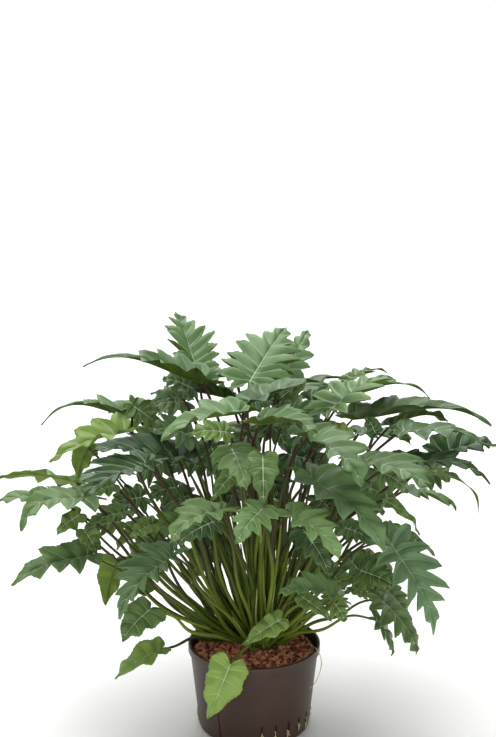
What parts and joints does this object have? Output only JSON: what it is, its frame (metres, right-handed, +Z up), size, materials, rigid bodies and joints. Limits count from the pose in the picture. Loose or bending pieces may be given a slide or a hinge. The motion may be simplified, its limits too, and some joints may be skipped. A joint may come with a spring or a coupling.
{
  "type": "philodendron xanadu in a grow pot",
  "caption": "Bushy philodendron with lobed leaves on long arching stalks, standing in a round slotted grow pot filled with clay granules.",
  "frame": {"origin": "centre of the pot's flat base, on the surface it stands on", "axes": "+Z up along the pot, -Y towards the front, +X to the right seen from the front"},
  "size_m": [1.0971, 0.8204, 0.8465],
  "materials": {
    "pot_plastic": "satin",
    "clay_granules": "matte",
    "stalk": "satin",
    "air_root": "matte",
    "leaf_blade": "satin",
    "young_blade": "satin"
  },
  "bodies": {
    "root": {"pot": "pot_plastic", "granules": "clay_granules", "stalks": "stalk", "air_root": "air_root", "leaf_01": "leaf_blade", "leaf_02": "leaf_blade", "leaf_03": "leaf_blade", "leaf_04": "leaf_blade", "leaf_05": "leaf_blade", "leaf_06": "leaf_blade", "leaf_07": "leaf_blade", "leaf_08": "leaf_blade", "leaf_09": "leaf_blade", "leaf_10": "leaf_blade", "leaf_11": "leaf_blade", "leaf_12": "leaf_blade", "leaf_13": "leaf_blade", "leaf_14": "leaf_blade", "leaf_15": "leaf_blade", "leaf_16": "leaf_blade", "leaf_17": "leaf_blade", "leaf_18": "young_blade", "leaf_19": "leaf_blade", "leaf_20": "leaf_blade", "leaf_21": "leaf_blade", "leaf_22": "leaf_blade", "leaf_23": "leaf_blade", "leaf_24": "leaf_blade", "leaf_25": "leaf_blade", "leaf_26": "young_blade", "leaf_27": "young_blade", "leaf_28": "young_blade", "leaf_29": "young_blade", "leaf_30": "leaf_blade", "leaf_31": "young_blade", "leaf_32": "leaf_blade", "leaf_33": "leaf_blade", "leaf_34": "leaf_blade", "leaf_35": "leaf_blade", "leaf_36": "leaf_blade", "leaf_37": "leaf_blade", "leaf_38": "leaf_blade", "leaf_39": "leaf_blade", "leaf_40": "leaf_blade", "leaf_41": "leaf_blade", "leaf_42": "leaf_blade", "leaf_43": "leaf_blade", "leaf_44": "young_blade", "leaf_45": "young_blade", "leaf_46": "leaf_blade", "leaf_47": "leaf_blade", "leaf_48": "leaf_blade", "leaf_49": "leaf_blade", "leaf_50": "leaf_blade", "leaf_51": "leaf_blade", "leaf_52": "leaf_blade", "leaf_53": "leaf_blade", "leaf_54": "leaf_blade", "leaf_55": "leaf_blade", "leaf_56": "leaf_blade"}
  },
  "joints": []
}
